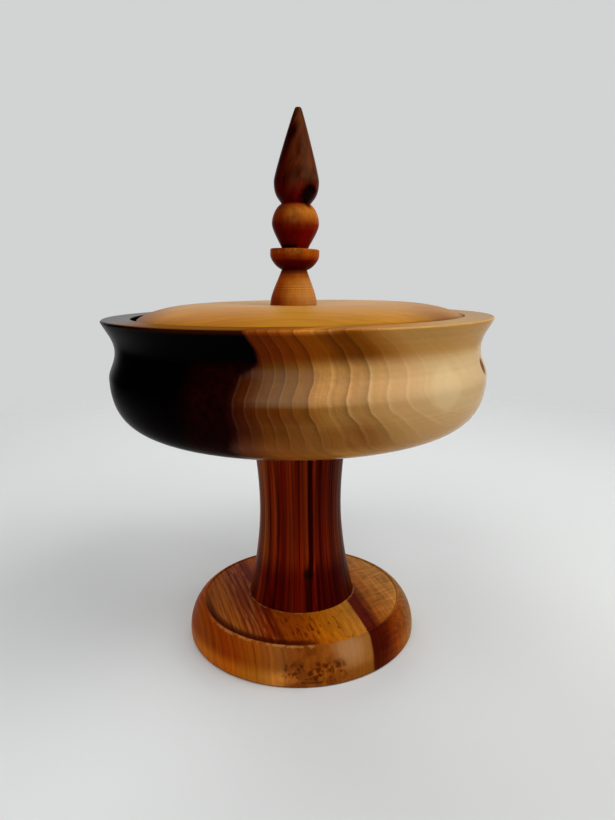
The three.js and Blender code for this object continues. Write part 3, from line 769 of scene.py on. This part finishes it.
lid = turned("turned_lid", lid_profile, 288, lid_shape)

LID_GRAIN = (1, -0.06, 0)
LID_FLAME = (0.6, 0.8, 0)            # the way of the darker streaks at the right
LID_YEAR = 6.5                       # width of a year across the grain

honey = Finish("lid_fruitwood", Specular_IOR_Level=0.055, Specular_Tint=paint("#ffd090"))
grain = honey.grain(LID_GRAIN)

# The years slope gently through the disc, so height counts about twice as much as the way back.
wander = honey.fibres(grain, 160, 30) * 14 + honey.fibres(grain, 60, 8) * 2
across = honey.y + honey.z * 2.2 + wander
season = honey.math("FRACT", across / LID_YEAR)
figure = honey.ramp(across, {
    385: "#b37820", 410: "#b87b26", 430: "#ba802f", 455: "#ba843a", 480: "#bc8947", 540: "#be8f52",
    640: "#c6a880",
})
fine = honey.fibres(grain, 40, 0.9)
coarse = honey.fibres(grain, 140, 5)
pores = honey.pores(grain)
colour = honey.shade(figure, 1.02 + fine * 0.35 + coarse * 0.6 - season * 0.1 - pores * 0.08)

# Paler at the front left; painted shade at both ends and along the joint with the rim at the right.
front = honey.y.rise(-40, -70)
colour = honey.tint(front * honey.x.rise(-4, -34), colour, paint("#f6eac8"))
# Painted shade where the shoulder slopes away at both ends.
shaded_ends = honey.x.rise(54, 90) * (front * 0.45 + 0.4) + honey.x.rise(-66, -100) * 0.85
colour = honey.mix(shaded_ends, colour, paint("#7c4416"))
streaks = honey.fibres(honey.grain(LID_FLAME), 90, 3.6).rise(0.02, 0.2) * honey.x.rise(48, 84)
colour = honey.stain(colour, streaks, 0.45, "#7a4212")
# Painted shade in the gap between the lid's edge and the rim.
joint_shade = honey.z.rise(lid_edge[1] + 2.2, lid_edge[1] + 0.6) * honey.x.rise(0, 40)
colour = honey.stain(colour, joint_shade, 0.6, "#5a2c0a")
rough = 0.38 + fine * 0.1
honey.finish(lid, colour, rough, fine * 0.02 - pores * 0.02)
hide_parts("lid")
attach(lid, "cover")


# Finial: one spindle turned with its grain upright, a cone foot, a cup, a ball and a flame, glued
# into the lid by a short tenon, a little off centre and leaning to the right.
FINIAL_FOOT_RADIUS = 15.6
CONE_TOP = (8.4, 22.8)               # radius and height above the foot, as in the other pairs
CUP_RADIUS = 16.2
CUP_TOP = 36.1
CUP_LIP = 3.8
CUP_CHAMFER = 0.6
BALL_SEAT_RADIUS = 8.6
BALL = (15.4, 52)
FLAME_NECK = (9.4, 64.3)
FLAME = (14.6, 78.2)
TIP = (2.2, 121.6)
TIP_TOP = 122.8
FINIAL_SEAT_GAP = 0.08
FINIAL_SAW_FADE = 5                  # height over which the slant of the sawn foot dies away

finial_profile = outline(
    (0, -FINIAL_TENON[1]),
    (FINIAL_TENON[0], -FINIAL_TENON[1]),
    (FINIAL_TENON[0], 0),
    (FINIAL_FOOT_RADIUS, 0),
    curve((FINIAL_FOOT_RADIUS, 0), (FINIAL_FOOT_RADIUS, 6.8), (10.9, 15.3), CONE_TOP),
    curve(CONE_TOP, (12.5, 24.2), (CUP_RADIUS, 29.3), (CUP_RADIUS, CUP_TOP - CUP_LIP)),
    (CUP_RADIUS, CUP_TOP - CUP_CHAMFER),
    (CUP_RADIUS - CUP_CHAMFER, CUP_TOP),
    (BALL_SEAT_RADIUS, CUP_TOP),
    curve((BALL_SEAT_RADIUS, CUP_TOP), (BALL_SEAT_RADIUS, 37.7), (BALL[0], 47.2), BALL),
    curve(BALL, (BALL[0], 56.2), (13.2, 62.1), FLAME_NECK),
    curve(FLAME_NECK, (11.7, 67.8), (FLAME[0], 69.2), FLAME),
    curve(FLAME, (FLAME[0], 82.2), (3.5, 119.2), TIP),
    curve(TIP, (TIP[0], 122.4), (1.3, TIP_TOP), (0, TIP_TOP)),
    edge=0.25,
    spacing=0.8,
)


def finial_shape(rings, poles):
    """Saws the foot level with the lid, then leans and places the finial. A point of the foot at x in
    its own frame lies on the saw cut where its height is (gap + x sin lean) / cos lean."""
    x = rings[..., 0].copy()
    height = rings[..., 2].copy()
    foot_ring = np.clip(1 - height / FINIAL_SAW_FADE, 0, 1) * (height > -0.5)
    cut = (FINIAL_SEAT_GAP + x * math.sin(FINIAL_LEAN)) / math.cos(FINIAL_LEAN)
    height += foot_ring * cut
    centre = lid_shift - FINIAL_OFF_CENTRE
    rings[..., 0] = centre + x * math.cos(FINIAL_LEAN) + height * math.sin(FINIAL_LEAN)
    rings[..., 2] = stand - x * math.sin(FINIAL_LEAN) + height * math.cos(FINIAL_LEAN)
    poles[:, 0] = centre + poles[:, 2] * math.sin(FINIAL_LEAN)
    poles[:, 2] = stand + poles[:, 2] * math.cos(FINIAL_LEAN)
    return rings, poles


finial = turned("turned_finial", finial_profile, 160, finial_shape)

SLANT_WAY = (0.3, -0.2, 0.93)        # the way of the flame's slanting figure
FLAME_PATCH_PLACE = (8.6, -10.6, 300.3)
FLAME_PATCH_HEIGHT = 1.1             # how much farther a point above or below it counts
TURNING_PITCH = 5.2                  # of the ridges on the cone, in radians a millimetre

spindle = Finish("finial_wood", Specular_IOR_Level=0.04, Specular_Tint=paint("#ffb488"))
grain = spindle.grain((math.sin(FINIAL_LEAN), 0, math.cos(FINIAL_LEAN)))
above = spindle.z - stand
aside = spindle.x - (lid_shift - FINIAL_OFF_CENTRE) - above * math.tan(FINIAL_LEAN)
shaded_left_side = (aside / (15 - above.rise(76, 122) * 11)).rise(0, -0.72)

# The colours from the foot up: yellow-brown cone, reddish cup and ball, chestnut flame.
high = above + spindle.noise(spindle.place, 0.12) * 1.6
# The cup and the ball are dark below and lighter above, and dark under the cup: painted shade and light.
figure = spindle.ramp(high, {
    0: "#a65b14", 7: "#b87328", 13: "#b26c20", 18: "#a65812", 20.5: "#8c3e0c", 22.4: "#6c2808",
    23.2: "#3c0305", 28: "#640402", 30.5: "#923e04", 35.5: "#a05412", 36.6: "#7c2006", 39: "#82100a",
    46: "#760805", 50: "#802404", 54: "#924c14", 59: "#a86218", 63: "#8c3c0c", 65: "#700604",
    69: "#6c0a05", 73: "#5e1808", 78: "#441808", 88: "#4c1c06", 95: "#501d06", 110: "#481a05",
    124: "#5e320e",
})

# Fibres and pores, turning marks on the cone, mottle on cup and ball, slanting figure in the flame.
fine = spindle.fibres(grain, 34, 0.8)
coarse = spindle.fibres(grain, 60, 4)
pores = spindle.pores(grain)
slant = spindle.fibres(spindle.grain(SLANT_WAY), 60, 5, 2) * above.rise(64, 70)
turning = spindle.lines(above, 0.8) * above.rise(23, 21)
mottle = spindle.noise(spindle.place, 0.22, 3) * above.band(23, 26, 62, 68)
# The tops of the cup and the ball are lighter on the right: painted light.
bulges = above.rise(24, 28) - above.rise(35.6, 36.4) + above.rise(49, 53) - above.rise(63, 65)
lit_right_side = aside.rise(1, 11) * bulges
tone = 1.0 + fine * 0.5 + coarse * 0.7 + slant * 3.4 - pores * 0.15 + turning * 1.1
tone = tone + lit_right_side * 0.3 + mottle * 1.2
colour = spindle.shade(figure, tone)

# The left side is redder, a painted shade, and the right side of the cone and of the flame is paler,
# painted light.
left_shade_tint = spindle.ramp(high, {
    4: "#b66040", 10: "#c08058", 18: "#f19e58", 22: "#ffd0a0", 25: "#e04048", 30: "#ffb470",
    37: "#ffb070", 41: "#d88458", 47: "#c24a58", 54: "#cf7458", 62: "#9c4450", 68: "#ab3050",
    78: "#f16458", 85: "#d84848", 91: "#a03844", 100: "#883c50", 112: "#c26858",
})
colour = spindle.tint(shaded_left_side * 0.9, colour, left_shade_tint)
# A painted sheen on the right of the flame.
flame_sheen = aside.rise(0, 8) * (above.rise(74, 80) * 0.16 + above.rise(104, 114) * 0.14)
colour = spindle.mix(flame_sheen, colour, paint("#8c5c38"))
# Painted light on the right of the cone.
colour = spindle.stain(colour, aside.rise(0, 9) * above.rise(20, 14), 0.25, "#c8985c")

# Light flecks on the cup's lip, painted shade in the gap under the ball, and a ragged dark patch low on
# the flame.
flecks = spindle.noise(spindle.place, 0.6, 2).rise(0.03, 0.15) * above.band(31, 35, 36, 36.6)
colour = spindle.stain(colour, flecks, 0.45, "#c08038")
# Painted shade in the gap between the cup's lip and the ball.
ball_gap_shade = above.band(35.8, 36.3, 38, 39.4) * aside.band(-12, -9, 0.5, 2.5)
colour = spindle.stain(colour, ball_gap_shade, 0.85, "#180402")
from_patch = spindle.vector("SUBTRACT", spindle.place, FLAME_PATCH_PLACE)
from_patch = spindle.vector("MULTIPLY", from_patch, (1, 1, FLAME_PATCH_HEIGHT))
patch = spindle.vector("LENGTH", from_patch, output="Value") + spindle.noise(spindle.place, 0.2) * 7
colour = spindle.stain(colour, patch.rise(9.6, 5), 0.98, "#080101")
rough = 0.34 + fine * 0.1
ridges = spindle.math("SINE", spindle.z * TURNING_PITCH) * above.rise(24, 22)
spindle.finish(finial, colour, rough, fine * 0.02 + ridges * 0.012)
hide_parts("finial")
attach(finial, "cover")


# Floor and light: a plain pale table top that fades out into a plain pale backdrop, a broad soft
# window to the right of the camera, and soft lights round the dish. In its gloss it shows the window,
# a low doorway, the pale backdrop behind it and a darker room in front.
FLOOR_RADIUS = 1.3
FLOOR_CORNERS = 96
FLOOR_FADE = (450, 1200)             # in millimetres from the dish
FLOOR_COLOUR = "#dbdddc"
BACKGROUND = "#d2d3d3"
ROOM_COLOUR = "#f2f4f6"
ROOM_LIGHT = 0.04                    # how brightly the room in front shines, where the backdrop has 1
LAMP_AIM = 0.18                      # height of the middle of the dish, in metres

angle = np.arange(FLOOR_CORNERS) * 2 * math.pi / FLOOR_CORNERS
circle = np.column_stack([np.cos(angle), np.sin(angle), 0 * angle]) * FLOOR_RADIUS
floor_mesh = bpy.data.meshes.new("floor")
floor_mesh.from_pydata(circle.tolist(), [], [tuple(range(FLOOR_CORNERS))])
floor = bpy.data.objects.new("floor", floor_mesh)
bpy.context.scene.collection.objects.link(floor)
matt = Finish("floor_matt", Base_Color=paint(FLOOR_COLOUR), Roughness=0.7, Specular_IOR_Level=0.2)
clear = matt.node("ShaderNodeBsdfTransparent")
away = matt.vector("LENGTH", matt.place, output="Value").rise(*FLOOR_FADE)
matt_shader = Wire(matt, matt.shader.outputs[0])
faded = matt.node("ShaderNodeMixShader", {}, {0: away, 1: matt_shader, 2: clear})
matt.link(faded, matt.tree.nodes["Material Output"], "Surface")
floor.data.materials.append(matt.material)
floor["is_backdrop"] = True

world = bpy.data.worlds.new("studio")
bpy.context.scene.world = world
room = Nodes(world)
backwards = room.parts(room.node("ShaderNodeTexCoord", output="Generated"))[1]
brightness = ROOM_LIGHT + backwards.rise(-0.35, 0.5) * 0.04
walls = room.node("ShaderNodeBackground", {}, {"Color": paint(ROOM_COLOUR), "Strength": brightness})
camera_ray = room.node("ShaderNodeLightPath", output="Is Camera Ray")
glossy_ray = room.node("ShaderNodeLightPath", output="Is Glossy Ray")
transmission_ray = room.node("ShaderNodeLightPath", output="Is Transmission Ray")
mirrored_ray = glossy_ray + transmission_ray
behind_dish = backwards.rise(0.7, 0.86)
shown = camera_ray + mirrored_ray * (ROOM_LIGHT + behind_dish * (1 - ROOM_LIGHT))
backdrop = room.node("ShaderNodeBackground", {}, {"Color": paint(BACKGROUND), "Strength": shown})
seen = room.node("ShaderNodeMixShader", {}, {0: camera_ray + mirrored_ray, 1: walls, 2: backdrop})
room.link(seen, room.tree.nodes["World Output"], "Surface")


def lamp(name, azimuth, elevation, distance, size, power, lit=True, mirrored=False):
    """A soft lamp that faces the dish. From the middle of the dish it stands at the azimuth and the
    elevation, in degrees. Its distance, width and height are in metres, its power in watts. It lights
    the wood if lit, and shows in the wood's gloss if mirrored."""
    light = bpy.data.lights.new(name, "AREA")
    light.shape = "RECTANGLE"
    light.size, light.size_y = size
    light.energy = power
    turn = math.radians(azimuth)
    climb = math.radians(elevation)
    holder = bpy.data.objects.new(name, light)
    holder.location = (
        distance * math.cos(climb) * math.cos(turn),
        distance * math.cos(climb) * math.sin(turn),
        distance * math.sin(climb) + LAMP_AIM,
    )
    holder.rotation_euler = (math.pi / 2 - climb, 0, turn + math.pi / 2)
    holder.visible_camera = False
    holder.visible_glossy = mirrored
    holder.visible_diffuse = lit
    bpy.context.scene.collection.objects.link(holder)


lamp("window_light", -36, 50, 1.5, (1.1, 1.0), 12, mirrored=True)
lamp("right_light", 0, 32, 1.5, (0.9, 0.9), 7.5)
lamp("left_light", -120, 56, 1.5, (0.9, 0.9), 8)
lamp("far_light", 130, 50, 1.5, (0.9, 0.9), 7)
lamp("wall_light", 90, 20, 1.5, (1.2, 0.8), 7)
lamp("doorway_light", -98, 8, 1.9, (1.4, 0.7), 20, lit=False, mirrored=True)


# Camera: in front of the dish and a little above the lid, as the photograph was taken. Its sensor's
# long side covers the height of the picture, and it looks down, a little right, and rolls a little.
IMAGE_HEIGHT = 820
FOCAL_LENGTH = 616                   # in pixels of the photograph
SENSOR = 36
CAMERA_PLACE = (0, -0.41853, 0.24797)
PITCH = math.radians(11.962)
YAW = math.radians(0.7887)
ROLL = math.radians(-0.5404)

camera_data = bpy.data.cameras.new("camera")
camera_data.sensor_width = SENSOR
camera_data.lens = SENSOR * FOCAL_LENGTH / IMAGE_HEIGHT
camera = bpy.data.objects.new("camera", camera_data)
ahead = np.array([math.sin(YAW) * math.cos(PITCH), math.cos(YAW) * math.cos(PITCH), -math.sin(PITCH)])
level = np.array([math.cos(YAW), -math.sin(YAW), 0])
upward = np.cross(level, ahead)
right = math.cos(ROLL) * level + math.sin(ROLL) * upward
up = math.cos(ROLL) * upward - math.sin(ROLL) * level
stance = np.eye(4)
stance[:3, :3] = np.column_stack([right, up, -ahead])
stance[:3, 3] = CAMERA_PLACE
camera.matrix_world = Matrix(stance.tolist())
bpy.context.scene.collection.objects.link(camera)
bpy.context.scene.camera = camera
bpy.context.scene.view_settings.view_transform = "Standard"

low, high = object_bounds()
